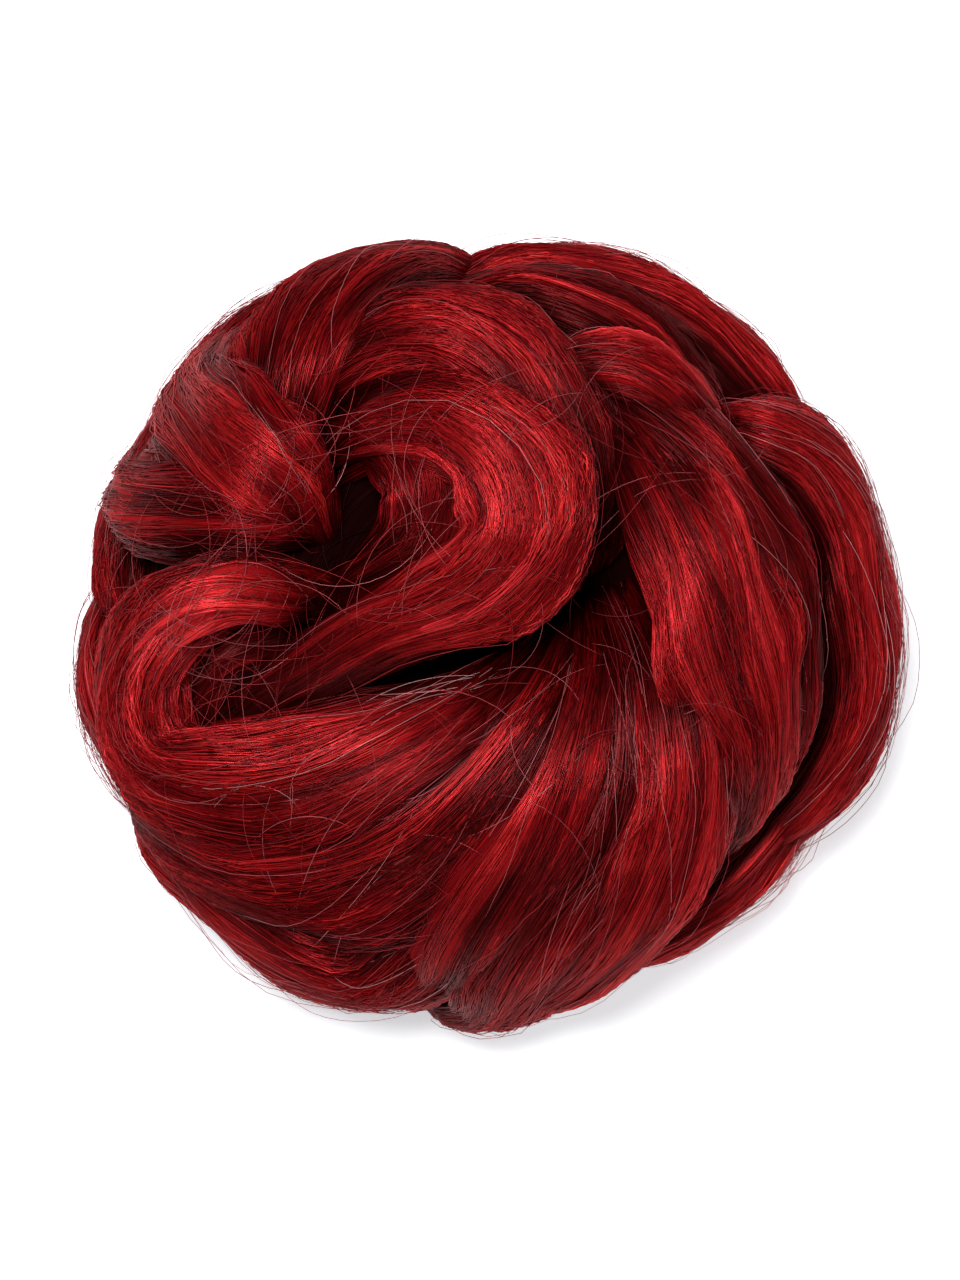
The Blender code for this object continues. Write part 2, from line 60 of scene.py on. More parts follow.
# The tresses: plan position as shares of the bun's radius, level as a share of its height,
# then width and thickness as shares of a full tress. A tress lies where its solid lies, apart from
# rows where the loose hair thins out or tucks in under its neighbours.
TRESSES = {
    "crown_curl": [
        (-0.36, 0.42, 0.60, 0.45, 0.60),
        (-0.22, 0.48, 0.77, 0.75, 0.80),
        (-0.07, 0.475, 0.87, 0.90, 0.95),
        (0.07, 0.375, 0.90, 1.10, 1.05),
        (0.115, 0.215, 0.91, 1.18, 1.10),
        (0.055, 0.09, 0.88, 0.96, 1.00),
        (-0.11, 0.01, 0.81, 0.66, 0.85),
        (-0.27, -0.055, 0.74, 0.58, 0.70),
        (-0.44, -0.15, 0.66, 0.54, 0.60),
        (-0.60, -0.25, 0.58, 0.46, 0.50),
        (-0.72, -0.33, 0.50, 0.30, 0.40),
    ],
    "crown_arc": [
        (-0.38, 0.55, 0.58, 0.50, 0.70),
        (-0.32, 0.63, 0.68, 0.80, 0.85),
        (-0.19, 0.69, 0.75, 1.00, 1.00),
        (-0.03, 0.69, 0.79, 1.05, 1.05),
        (0.10, 0.61, 0.81, 1.00, 1.05),
        (0.20, 0.48, 0.82, 0.95, 1.00),
        (0.26, 0.34, 0.78, 0.75, 0.90),
        (0.28, 0.20, 0.66, 0.50, 0.70),
    ],
    "right_arc": [
        (0.17, 0.57, 0.68, 0.35, 0.50),
        (0.25, 0.62, 0.77, 0.50, 0.70),
        (0.37, 0.62, 0.80, 0.60, 0.75),
        (0.48, 0.56, 0.78, 0.60, 0.75),
        (0.565, 0.47, 0.695, 0.40, 0.58),
        (0.60, 0.39, 0.56, 0.16, 0.28),
    ],
    "lower_right_blade": [
        (0.40, 0.08, 0.60, 0.40, 0.60),
        (0.46, -0.10, 0.74, 0.55, 0.85),
        (0.49, -0.29, 0.79, 0.70, 0.95),
        (0.49, -0.46, 0.76, 0.85, 1.00),
        (0.44, -0.61, 0.68, 0.95, 1.00),
        (0.36, -0.72, 0.54, 0.90, 0.95),
        (0.25, -0.81, 0.38, 0.75, 0.85),
        (0.12, -0.87, 0.24, 0.50, 0.60),
    ],
    "right_fall": [
        (0.29, 0.55, 0.66, 0.50, 0.70),
        (0.42, 0.40, 0.78, 0.85, 0.95),
        (0.52, 0.22, 0.84, 1.05, 1.05),
        (0.59, 0.04, 0.84, 1.15, 1.10),
        (0.63, -0.13, 0.80, 1.20, 1.10),
        (0.665, -0.28, 0.72, 0.90, 0.95),
        (0.65, -0.40, 0.60, 0.75, 0.85),
        (0.60, -0.50, 0.46, 0.50, 0.60),
    ],
    "left_curl": [
        (-0.33, 0.06, 0.52, 0.45, 0.60),
        (-0.45, 0.075, 0.68, 0.50, 0.75),
        (-0.60, 0.07, 0.74, 0.60, 0.85),
        (-0.745, -0.005, 0.72, 0.78, 0.92),
        (-0.815, -0.155, 0.66, 0.84, 0.95),
        (-0.765, -0.32, 0.62, 1.00, 1.00),
        (-0.58, -0.41, 0.66, 1.15, 1.05),
        (-0.38, -0.41, 0.72, 1.08, 1.05),
        (-0.18, -0.34, 0.75, 0.90, 1.00),
        (0.02, -0.21, 0.70, 0.72, 0.90),
        (0.17, -0.07, 0.56, 0.45, 0.70),
    ],
    "left_fan_upper": [
        (-0.56, 0.80, 0.34, 0.45, 0.45),
        (-0.67, 0.62, 0.53, 0.90, 0.75),
        (-0.60, 0.47, 0.70, 1.10, 1.00),
        (-0.50, 0.36, 0.76, 1.05, 1.00),
        (-0.44, 0.31, 0.73, 0.75, 0.85),
        (-0.39, 0.25, 0.60, 0.50, 0.65),
    ],
    "left_fan_lower": [
        (-0.77, 0.53, 0.30, 0.45, 0.45),
        (-0.82, 0.37, 0.50, 0.85, 0.85),
        (-0.68, 0.31, 0.66, 0.92, 0.95),
        (-0.54, 0.28, 0.73, 0.74, 0.92),
        (-0.45, 0.265, 0.70, 0.48, 0.72),
        (-0.39, 0.25, 0.58, 0.35, 0.50),
    ],
    "bottom_fall": [
        (0.34, 0.06, 0.58, 0.40, 0.60),
        (0.39, -0.14, 0.73, 0.60, 0.85),
        (0.385, -0.35, 0.735, 0.80, 0.95),
        (0.335, -0.53, 0.685, 1.00, 0.95),
        (0.23, -0.68, 0.60, 1.15, 1.00),
        (0.13, -0.80, 0.42, 1.15, 0.95),
        (0.05, -0.88, 0.28, 0.95, 0.80),
        (-0.05, -0.88, 0.18, 0.60, 0.60),
    ],
    "bottom_sweep": [
        (0.29, 0.04, 0.58, 0.40, 0.60),
        (0.285, -0.16, 0.73, 0.50, 0.85),
        (0.215, -0.38, 0.77, 0.78, 1.00),
        (0.11, -0.56, 0.72, 1.00, 1.05),
        (-0.01, -0.70, 0.59, 1.10, 1.00),
        (-0.08, -0.79, 0.42, 1.00, 0.90),
        (-0.17, -0.84, 0.26, 0.60, 0.70),
    ],
    "lower_left_sweep": [
        (-0.80, -0.42, 0.40, 0.50, 0.60),
        (-0.68, -0.53, 0.50, 0.90, 0.80),
        (-0.50, -0.60, 0.56, 1.20, 1.00),
        (-0.30, -0.61, 0.62, 1.30, 1.05),
        (-0.11, -0.54, 0.68, 1.20, 1.05),
        (0.06, -0.39, 0.74, 1.00, 1.00),
        (0.18, -0.22, 0.74, 0.80, 0.90),
        (0.25, -0.03, 0.60, 0.50, 0.70),
    ],
    "right_fall_outer": [
        (0.22, 0.58, 0.62, 0.40, 0.60),
        (0.36, 0.53, 0.72, 0.70, 0.85),
        (0.50, 0.42, 0.78, 0.85, 0.95),
        (0.62, 0.27, 0.78, 0.90, 1.00),
        (0.70, 0.11, 0.75, 0.90, 1.00),
        (0.73, -0.07, 0.70, 0.85, 1.00),
        (0.72, -0.24, 0.62, 0.80, 0.95),
        (0.66, -0.38, 0.50, 0.70, 0.80),
        (0.58, -0.49, 0.38, 0.45, 0.60),
    ],
    "top_left_fall": [
        (0.00, 0.90, 0.40, 0.50, 0.70),
        (-0.12, 0.92, 0.46, 0.80, 0.90),
        (-0.28, 0.86, 0.56, 1.15, 1.00),
        (-0.41, 0.73, 0.65, 1.25, 1.00),
        (-0.46, 0.56, 0.68, 1.00, 0.90),
        (-0.43, 0.43, 0.60, 0.60, 0.80),
        (-0.36, 0.34, 0.45, 0.40, 0.60),
    ],
    "top_right_arc": [
        (-0.02, 0.82, 0.60, 0.40, 0.60),
        (0.12, 0.83, 0.62, 0.70, 0.80),
        (0.28, 0.79, 0.62, 0.85, 0.90),
        (0.42, 0.71, 0.60, 0.85, 0.90),
        (0.52, 0.60, 0.56, 0.70, 0.80),
        (0.58, 0.52, 0.50, 0.45, 0.60),
    ],
    "right_rim": [
        (0.56, 0.46, 0.54, 0.45, 0.60),
        (0.68, 0.49, 0.62, 0.75, 0.85),
        (0.81, 0.43, 0.58, 0.95, 0.95),
        (0.90, 0.29, 0.50, 1.05, 1.00),
        (0.94, 0.12, 0.44, 1.10, 1.00),
        (0.955, -0.065, 0.40, 1.05, 1.00),
        (0.925, -0.23, 0.36, 0.95, 0.95),
        (0.83, -0.38, 0.32, 0.80, 0.85),
        (0.70, -0.50, 0.28, 0.50, 0.60),
    ],
    "lower_left_rim": [
        (-0.78, -0.47, 0.28, 0.60, 0.70),
        (-0.685, -0.555, 0.30, 0.90, 0.90),
        (-0.56, -0.665, 0.32, 1.08, 0.95),
        (-0.41, -0.77, 0.33, 1.20, 1.00),
        (-0.24, -0.81, 0.36, 1.15, 1.00),
        (-0.09, -0.74, 0.46, 1.00, 1.00),
        (0.03, -0.62, 0.56, 0.85, 0.95),
        (0.12, -0.47, 0.58, 0.60, 0.80),
    ],
    "top_right_rim": [
        (-0.05, 0.88, 0.44, 0.45, 0.60),
        (0.08, 0.92, 0.42, 0.80, 0.85),
        (0.25, 0.92, 0.40, 1.05, 0.95),
        (0.43, 0.86, 0.38, 1.15, 1.00),
        (0.60, 0.75, 0.36, 1.15, 1.00),
        (0.72, 0.62, 0.36, 0.95, 0.90),
        (0.81, 0.49, 0.34, 0.60, 0.70),
    ],
    "upper_left_rim": [
        (-0.10, 0.91, 0.26, 0.60, 0.70),
        (-0.36, 0.88, 0.30, 0.95, 0.90),
        (-0.565, 0.75, 0.34, 1.00, 0.95),
        (-0.70, 0.58, 0.36, 0.90, 0.95),
        (-0.79, 0.415, 0.36, 0.85, 0.95),
        (-0.865, 0.265, 0.34, 0.78, 0.90),
        (-0.87, 0.12, 0.32, 0.70, 0.80),
        (-0.80, 0.00, 0.30, 0.50, 0.60),
    ],
    "left_rim_loop": [
        (-0.86, 0.16, 0.30, 0.40, 0.50),
        (-0.91, 0.05, 0.30, 0.60, 0.70),
        (-0.915, -0.08, 0.30, 0.72, 0.80),
        (-0.88, -0.21, 0.29, 0.72, 0.80),
        (-0.82, -0.33, 0.27, 0.65, 0.70),
        (-0.72, -0.43, 0.25, 0.50, 0.60),
    ],
    "lower_right_rim": [
        (0.90, -0.14, 0.20, 0.50, 0.60),
        (0.85, -0.29, 0.22, 0.80, 0.80),
        (0.74, -0.45, 0.24, 0.95, 0.90),
        (0.63, -0.58, 0.24, 1.00, 0.90),
        (0.50, -0.68, 0.24, 0.90, 0.85),
        (0.37, -0.74, 0.22, 0.60, 0.70),
    ],
}

# How each tress is dressed: strands, tone from dark to bright (partly the hair's own, partly painted
# light and shade for how lit the tress looks), how far its locks stand apart, and the painted shade
# added at its start and at its end, where it tucks down into the hollows and under its neighbours.
DRESSING = {
    "crown_curl": (610, 0.04, 1.0, -0.10, -0.75),
    "crown_arc": (440, 0.02, 1.0, -0.10, -0.20),
    "right_arc": (230, 0.08, 0.9, -0.10, 0.00),
    "lower_right_blade": (400, 0.06, 1.0, -0.20, 0.00),
    "right_fall": (480, 0.06, 1.0, -0.25, 0.00),
    "left_curl": (600, 0.02, 1.0, -0.30, -0.10),
    "left_fan_upper": (330, 0.02, 1.5, 0.00, -0.25),
    "left_fan_lower": (330, 0.04, 1.5, 0.00, -0.20),
    "bottom_fall": (360, -0.03, 1.0, -0.20, 0.00),
    "bottom_sweep": (360, 0.03, 1.0, -0.20, 0.00),
    "lower_left_sweep": (480, -0.02, 1.1, 0.00, -0.20),
    "right_fall_outer": (330, -0.06, 1.0, -0.20, 0.00),
    "top_left_fall": (400, -0.02, 1.1, 0.00, -0.25),
    "top_right_arc": (270, -0.08, 1.0, 0.00, 0.00),
    "right_rim": (460, 0.05, 1.0, 0.00, 0.00),
    "lower_left_rim": (400, 0.00, 1.0, 0.00, -0.10),
    "top_right_rim": (400, 0.03, 1.0, 0.00, 0.00),
    "upper_left_rim": (380, -0.04, 1.1, 0.00, 0.00),
    "left_rim_loop": (220, -0.04, 1.0, 0.00, 0.00),
    "lower_right_rim": (260, 0.06, 0.7, 0.00, 0.00),
}

# Loose locks that lie over or between the tresses: the piece that each belongs to, its strands,
# its tone, the painted shade added at its start and end, and its rows. The bright lock on the
# left_curl paints a highlight band along it.
LOCKS = (
    ("crown_curl", 200, -0.14, (-0.2, -0.4), (
        (-0.37, 0.43, 0.56, 0.30, 0.50),
        (-0.28, 0.48, 0.68, 0.55, 0.65),
        (-0.16, 0.43, 0.78, 0.75, 0.75),
        (-0.10, 0.31, 0.81, 0.80, 0.80),
        (-0.13, 0.19, 0.78, 0.75, 0.75),
        (-0.25, 0.11, 0.68, 0.55, 0.60),
        (-0.38, 0.07, 0.56, 0.30, 0.45),
    )),
    ("top_left_fall", 120, 0.00, (0.0, -0.1), (
        (-0.33, 0.90, 0.34, 0.40, 0.40),
        (-0.48, 0.79, 0.50, 0.60, 0.55),
        (-0.57, 0.68, 0.60, 0.65, 0.60),
        (-0.53, 0.53, 0.68, 0.60, 0.60),
        (-0.46, 0.41, 0.66, 0.45, 0.50),
        (-0.39, 0.32, 0.52, 0.30, 0.40),
    )),
    # A painted highlight: this lock is painted bright along the left curl, and darker at its start.
    ("left_curl", 110, 0.30, (-0.85, -0.1), (
        (-0.36, 0.055, 0.60, 0.15, 0.25),
        (-0.46, 0.055, 0.75, 0.42, 0.45),
        (-0.58, 0.055, 0.80, 0.48, 0.50),
        (-0.70, 0.02, 0.79, 0.50, 0.50),
        (-0.80, -0.07, 0.73, 0.48, 0.50),
        (-0.83, -0.20, 0.64, 0.35, 0.40),
    )),
    ("left_curl", 60, -0.34, (-0.2, -0.1), (
        (-0.38, 0.00, 0.58, 0.35, 0.40),
        (-0.50, -0.02, 0.63, 0.50, 0.45),
        (-0.61, -0.07, 0.64, 0.50, 0.45),
        (-0.68, -0.17, 0.61, 0.50, 0.45),
        (-0.66, -0.27, 0.56, 0.40, 0.40),
    )),
    ("left_curl", 120, -0.06, (0.0, -0.1), (
        (-0.75, -0.27, 0.53, 0.35, 0.40),
        (-0.61, -0.31, 0.63, 0.50, 0.55),
        (-0.45, -0.30, 0.69, 0.60, 0.60),
        (-0.28, -0.265, 0.72, 0.55, 0.58),
        (-0.10, -0.215, 0.71, 0.50, 0.52),
        (0.06, -0.15, 0.63, 0.40, 0.45),
        (0.16, -0.05, 0.52, 0.30, 0.35),
    )),
    ("left_fan_lower", 120, 0.05, (0.0, -0.2), (
        (-0.72, 0.57, 0.32, 0.35, 0.35),
        (-0.75, 0.46, 0.52, 0.65, 0.60),
        (-0.67, 0.39, 0.67, 0.65, 0.60),
        (-0.54, 0.335, 0.74, 0.55, 0.55),
        (-0.45, 0.285, 0.68, 0.40, 0.45),
        (-0.39, 0.25, 0.54, 0.30, 0.40),
    )),
)

# Meshes, in metres where a value is a length.
BODY_AROUND = 36
BODY_STEPS_PER_ROW = 7
RINGS_PER_ROW = 2
STRAND_RADIUS = 0.000105
BODY_SCALE = 0.965
STRAND_U = 0.2
HIDDEN_REACH = 0.0015
HIDDEN_NEARNESS = 0.94
LEAST_SEEN = 0.22
# Painted shade in the creases between tresses: how far out from the surface to look for a neighbour,
# how near it must be, how softly the shade fades and how much darker the hair is painted there.
CREASE_REACH = 0.0045
CREASE_NEARNESS = 2.0
CREASE_SOFTNESS = 0.95
CREASE_PAINTED_SHADE = 0.50
# On the inner side of a bend a tress is no wider than this share of the bend's radius, eased over
# so many steps of its guide.
BEND_ROOM = 0.75
BEND_EASE = 4
GUIDE_OVERRUN = 0.35
CORE_OVERRUN = 0.26
STRAND_OVERRUN = 0.31
STRANDS_IN_LOCK = 16
LOOSE_APART = 1.4
LOWEST_STRAND = 0.0006
FAR = 9.0
# How much the ridges, locks, finer locks and wisps stand out of a core, and how much painted
# light on their crests and painted shade in the grooves between they give it.
WAVE_RELIEF = (RIDGE_DEPTH, 0.045, 0.030, 0.012)
WAVE_PAINTED_SHADE = (0.04, 0.08, 0.06, 0.04)

rng = np.random.default_rng(20)


def smooth(rows, t):
    """Values of a table's rows at the parameters t, on the same smooth curve as the CAD's."""
    rows = np.asarray(rows, float)
    last = len(rows) - 1
    start_row = np.clip(np.floor(t).astype(int), 0, last - 1)
    share = (t - start_row)[..., None]

    def row(step):
        return rows[np.clip(start_row + step, 0, last)]

    rise_in = (row(1) - row(-1)) / 2
    rise_out = (row(2) - row(0)) / 2
    square, cube = share**2, share**3
    return (
        (2 * cube - 3 * square + 1) * row(0)
        + (cube - 2 * square + share) * rise_in
        + (3 * square - 2 * cube) * row(1)
        + (cube - square) * rise_out
    )


def unit(vectors):
    return vectors / np.maximum(np.linalg.norm(vectors, axis=-1, keepdims=True), 1e-12)


class Tress:
    """The guide of one tress: its middle line, the way it faces and its section at each step."""

    def __init__(self, rows):
        self.last = len(rows) - 1
        self.t = np.linspace(-GUIDE_OVERRUN, self.last + GUIDE_OVERRUN, 12 * self.last + 9)
        inside = np.clip(self.t, 0, self.last)
        values = smooth(rows, inside)
        across, along, level = values[:, 0], values[:, 1], values[:, 2]
        middle = np.stack(
            (
                (across + SHIFT[0]) * BUN_RADIUS,
                (along + SHIFT[1]) * BUN_RADIUS,
                level * BUN_HEIGHT,
            ),
            axis=1,
        )
        tangent = unit(np.gradient(middle, axis=0))
        begin = np.argmax(self.t >= 0)
        end = len(self.t) - 1 - np.argmax(self.t[::-1] <= self.last)
        tangent[:begin] = tangent[begin + 1]
        tangent[end + 1 :] = tangent[end - 1]
        reach_out = self.t - inside
        middle = middle + tangent * reach_out[:, None] * TRESS_THICKNESS * 1.2
        reach = np.hypot(across, along)
        out = (reach - CREST_SHARE) / (RIM_SHARE - CREST_SHARE)
        out = np.where(out < 0, out * INWARD_LEAN, out)
        up = (level - RIM_LEVEL) / (CREST_LEVEL - RIM_LEVEL)
        facing = np.stack(
            (
                across / np.maximum(reach, 0.05) * out,
                along / np.maximum(reach, 0.05) * out,
                up,
            ),
            axis=1,
        )
        facing = unit(facing)
        self.middle = middle
        self.tangent = tangent
        self.wide = unit(np.cross(tangent, facing))
        self.deep = np.cross(self.wide, tangent)
        close = np.clip(1 - np.abs(reach_out) / 0.36, 0, 1) ** 0.5
        half_width = values[:, 3] * TRESS_WIDTH / 2 * close
        step_length = np.maximum(np.linalg.norm(np.gradient(middle, axis=0), axis=1), 1e-6)
        bend = (np.gradient(tangent, axis=0) * self.wide).sum(1) / step_length
        room = BEND_ROOM / np.maximum(np.abs(bend), 1.0)
        window = 2 * BEND_EASE + 1
        tight = np.pad(np.minimum(half_width, room), BEND_EASE, "edge")
        tight = np.lib.stride_tricks.sliding_window_view(tight, window).min(1)
        tight = np.pad(tight, BEND_EASE, "edge")
        tight = np.convolve(tight, np.full(window, 1 / window), "valid")
        tight = np.minimum(tight, half_width)
        self.half_width = half_width
        self.right_width = np.where(bend > 0, tight, half_width)
        self.left_width = np.where(bend < 0, tight, half_width)
        self.half_depth = values[:, 4] * TRESS_THICKNESS / 2 * close
        self.ridge_turn = rng.uniform(0, 2 * math.pi, 6)

    def waves(self, theta, t):
        """The CAD's ridges and, between them, locks and finer locks, each from -1 to 1."""
        p = self.ridge_turn
        ridges = np.cos(RIDGES * theta + RIDGE_TURN * t)
        locks = np.cos(7 * theta + 0.6 * t + p[0] + 0.9 * np.sin(0.9 * t + p[1]))
        thin_locks = np.cos(12 * theta - 0.8 * t + p[2] + 1.1 * np.sin(1.3 * t + p[3]))
        wisps = np.cos(21 * theta + 0.5 * t + p[4] + 1.2 * np.sin(0.8 * t + p[5]))
        return ridges, locks, thin_locks, wisps

    def relief(self, theta, t):
        """How far the surface stands out at an angle round the tress."""
        return sum((high * wave for high, wave in zip(WAVE_RELIEF, self.waves(theta, t))), 1)

    def tone(self, theta, t):
        """Painted light and shade there: brighter on the ridges and locks, darker in the grooves
        between.
        """
        ridges, *rest = (pale * wave for pale, wave in zip(WAVE_PAINTED_SHADE, self.waves(theta, t)))
        return sum(rest, ridges)

    def lerp(self, values, t):
        place = (t - self.t[0]) / (self.t[1] - self.t[0])
        low = np.clip(np.floor(place).astype(int), 0, len(self.t) - 2)
        share = (place - low)[..., None] if values.ndim > 1 else place - low
        return values[low] * (1 - share) + values[low + 1] * share

    def surface(self, t, theta, scale):
        """Points on the tress and the way its surface faces there."""
        middle = self.lerp(self.middle, t)
        wide = self.lerp(self.wide, t)
        deep = self.lerp(self.deep, t)
        half_depth = self.lerp(self.half_depth, t)
        form = self.relief(theta, t) * scale
        cos, sin = np.cos(theta), np.sin(theta)
        right, left = self.lerp(self.right_width, t), self.lerp(self.left_width, t)
        half_width = np.where(cos > 0, right, left)
        points = (
            middle
            + wide * (half_width * form * cos)[..., None]
            + deep * (half_depth * form * sin)[..., None]
        )
        facing = unit(
            wide * (cos / np.maximum(half_width, 1e-5))[..., None]
            + deep * (sin / np.maximum(half_depth, 1e-5))[..., None]
        )
        return points, facing

    def nearness(self, points):
        """How near points are to the middle, as a share of the section: 1 is the surface."""
        flat = points.reshape(-1, 3)
        found = np.full(len(flat), FAR)
        step = slice(4, -4, 2)
        low = self.middle.min(0) - TRESS_WIDTH
        high = self.middle.max(0) + TRESS_WIDTH
        near = np.nonzero(((flat > low) & (flat < high)).all(1))[0]
        middle = self.middle[step]
        for chunk in np.array_split(near, max(1, len(near) // 40000)):
            if not len(chunk):
                continue
            gap = flat[chunk][:, None, :] - middle[None]
            closest = np.argmin((gap**2).sum(2), axis=1)
            offset = gap[np.arange(len(chunk)), closest]
            u = (offset * self.wide[step][closest]).sum(1) / self.half_width[step][closest]
            v = (offset * self.deep[step][closest]).sum(1) / self.half_depth[step][closest]
            w = (offset * self.tangent[step][closest]).sum(1) / TRESS_THICKNESS
            found[chunk] = np.where(np.abs(w) < 0.5, np.hypot(u, v), FAR)
        return found.reshape(points.shape[:-1])


def nearest(points, others):
    """How near points are to the nearest of the other tresses."""
    found = np.full(points.shape[:-1], FAR)
    for other in others:
        np.minimum(found, other.nearness(points), out=found)
    return found


def painted_crease_shade(points, facing, others):
    """Painted shade: from 0 in the open to 1 in the crease between two tresses, where the hair is
    painted darker.
    """
    near = nearest(points + facing * CREASE_REACH, others)
    return np.clip((CREASE_NEARNESS - near) / CREASE_SOFTNESS, 0, 1)


def new_mesh(name, points, quads, triangles, uvs, material_of=None, materials=(), tones=None):
    """An object of quads and triangles, smooth shaded, with one UV and one tone for each point."""
    points = np.asarray(points, np.float32).reshape(-1, 3)
    quads = np.asarray(quads, np.int32).reshape(-1, 4)
    triangles = np.asarray(triangles, np.int32).reshape(-1, 3)
    corners = np.concatenate((quads.ravel(), triangles.ravel()))
    starts = np.concatenate(
        (np.arange(len(quads)) * 4, len(quads) * 4 + np.arange(len(triangles)) * 3)
    ).astype(np.int32)
    mesh = bpy.data.meshes.new(name)
    mesh.vertices.add(len(points))
    mesh.vertices.foreach_set("co", points.ravel())
    mesh.loops.add(len(corners))
    mesh.loops.foreach_set("vertex_index", corners)
    mesh.polygons.add(len(starts))
    mesh.polygons.foreach_set("loop_start", starts)
    layer = mesh.uv_layers.new(name="OFBake")
    layer.uv.foreach_set("vector", np.asarray(uvs, np.float32).reshape(-1, 2)[corners].ravel())
    if tones is not None:
        paint = mesh.color_attributes.new("tone", "FLOAT_COLOR", "POINT")
        shades = np.ones((len(points), 4), np.float32)
        shades[:, :3] = np.asarray(tones, np.float32)[:, None]
        paint.data.foreach_set("color", shades.ravel())
    for material in materials:
        mesh.materials.append(material)
    if material_of is not None:
        mesh.polygons.foreach_set("material_index", np.asarray(material_of, np.int32))
    mesh.update(calc_edges=True)
    mesh.validate()
    mesh.shade_smooth()
    made = bpy.data.objects.new(name, mesh)
    bpy.context.scene.collection.objects.link(made)
    return made


def tube_faces(count, rings, sides, first=0):
    """Quads of count tubes of so many rings, and the triangles that close their ends."""
    ring = np.arange(rings - 1)[:, None] * sides
    side = np.arange(sides)[None]
    ahead = (side + 1) % sides
    quads = np.stack((ring + side, ring + ahead, ring + sides + ahead, ring + sides + side), -1)
    quads = quads.reshape(1, -1, 4)
    offset = (np.arange(count) * rings * sides + first)[:, None, None]
    quads = (quads + offset).reshape(-1, 4)
    if sides != 3:
        return quads, np.zeros((0, 3), int)
    base = np.array(((0, 2, 1), ((rings - 1) * 3, (rings - 1) * 3 + 1, (rings - 1) * 3 + 2)))
    return quads, (base[None] + offset).reshape(-1, 3)


def strand_tubes(paths, facing, radii, shade):
    """Three-sided closed tubes along the paths, with a UV of shade and place along."""
    count, rings = paths.shape[:2]
    tangent = unit(np.gradient(paths, axis=1))
    side = unit(np.cross(tangent, facing))
    up = np.cross(side, tangent)
    points = np.empty((count, rings, 3, 3))
    for corner in range(3):
        angle = math.pi / 2 + 2 * math.pi * corner / 3
        way = side * math.cos(angle) + up * math.sin(angle)
        points[:, :, corner] = paths + way * radii[..., None]
    uvs = np.empty((count, rings, 3, 2))
    uvs[..., 0] = (np.clip(shade, 0.01, 0.99) * STRAND_U)[..., None]
    uvs[..., 1] = np.linspace(0.01, 0.99, rings)[None, :, None]
    quads, ends = tube_faces(count, rings, 3)
    return points.reshape(-1, 3), quads, ends, uvs.reshape(-1, 2)


def tapered(count, rings, radius, blunt=0.25):
    """Radii that fall off at both ends of each strand."""
    s = np.linspace(0, 1, rings)
    shape = blunt + (1 - blunt) * np.clip(np.sin(np.pi * s) * 3, 0, 1)
    return radius.reshape(count, 1) * shape[None]


def run_painted_shade(share, ends):
    """Painted shade added along a tress towards its start and its end, where it tucks under."""
    return ends[0] * np.clip(1 - share * 2.5, 0, 1) + ends[1] * np.clip(share * 2.5 - 1.5, 0, 1)


def tress_body(tress, tone, ends, others, low_v=0.01, high_v=0.84):
    """The core of a tress: rings round its guide, drawn in to a point at each end.

    Its UVs run along it from low_v to high_v, so that a lock's lie apart from its tress's.
    """
    steps = BODY_STEPS_PER_ROW * tress.last
    t = np.linspace(-CORE_OVERRUN, tress.last + CORE_OVERRUN, steps)
    theta = np.linspace(0, 2 * math.pi, BODY_AROUND + 1)[:-1] - math.pi / 2
    grid_t, grid_theta = np.meshgrid(t, theta, indexing="ij")
    points, facing = tress.surface(grid_t, grid_theta, BODY_SCALE)
    # The core's tone takes painted light and shade: lighter ridges, darker grooves and darker ends.
    tones = 0.5 + tone + tress.tone(grid_theta, grid_t) + run_painted_shade(grid_t / tress.last, ends)
    # Painted shade darkens the core in the creases between tresses.
    tones -= CREASE_PAINTED_SHADE * painted_crease_shade(points, facing, others)
    uvs = np.empty(points.shape[:2] + (2,))
    uvs[..., 0] = 0.22 + 0.77 * np.linspace(0, 1, BODY_AROUND)[None]
    uvs[..., 1] = np.linspace(low_v, high_v, steps)[:, None]
    quads, _ = tube_faces(1, steps, BODY_AROUND)
    count = steps * BODY_AROUND
    tips = np.stack((points[0].mean(0), points[-1].mean(0)))
    side = np.arange(BODY_AROUND)
    ahead = (side + 1) % BODY_AROUND
    top = (steps - 1) * BODY_AROUND
    first = np.stack((np.full(BODY_AROUND, count), ahead, side), 1)
    last = np.stack((np.full(BODY_AROUND, count + 1), top + side, top + ahead), 1)
    points = np.concatenate((points.reshape(-1, 3), tips))
    uvs = np.concatenate((uvs.reshape(-1, 2), [[0.6, low_v], [0.6, high_v]]))
    tones = np.concatenate((tones.ravel(), [0.2, 0.2]))
    return points, quads, np.concatenate((first, last)), uvs, tones


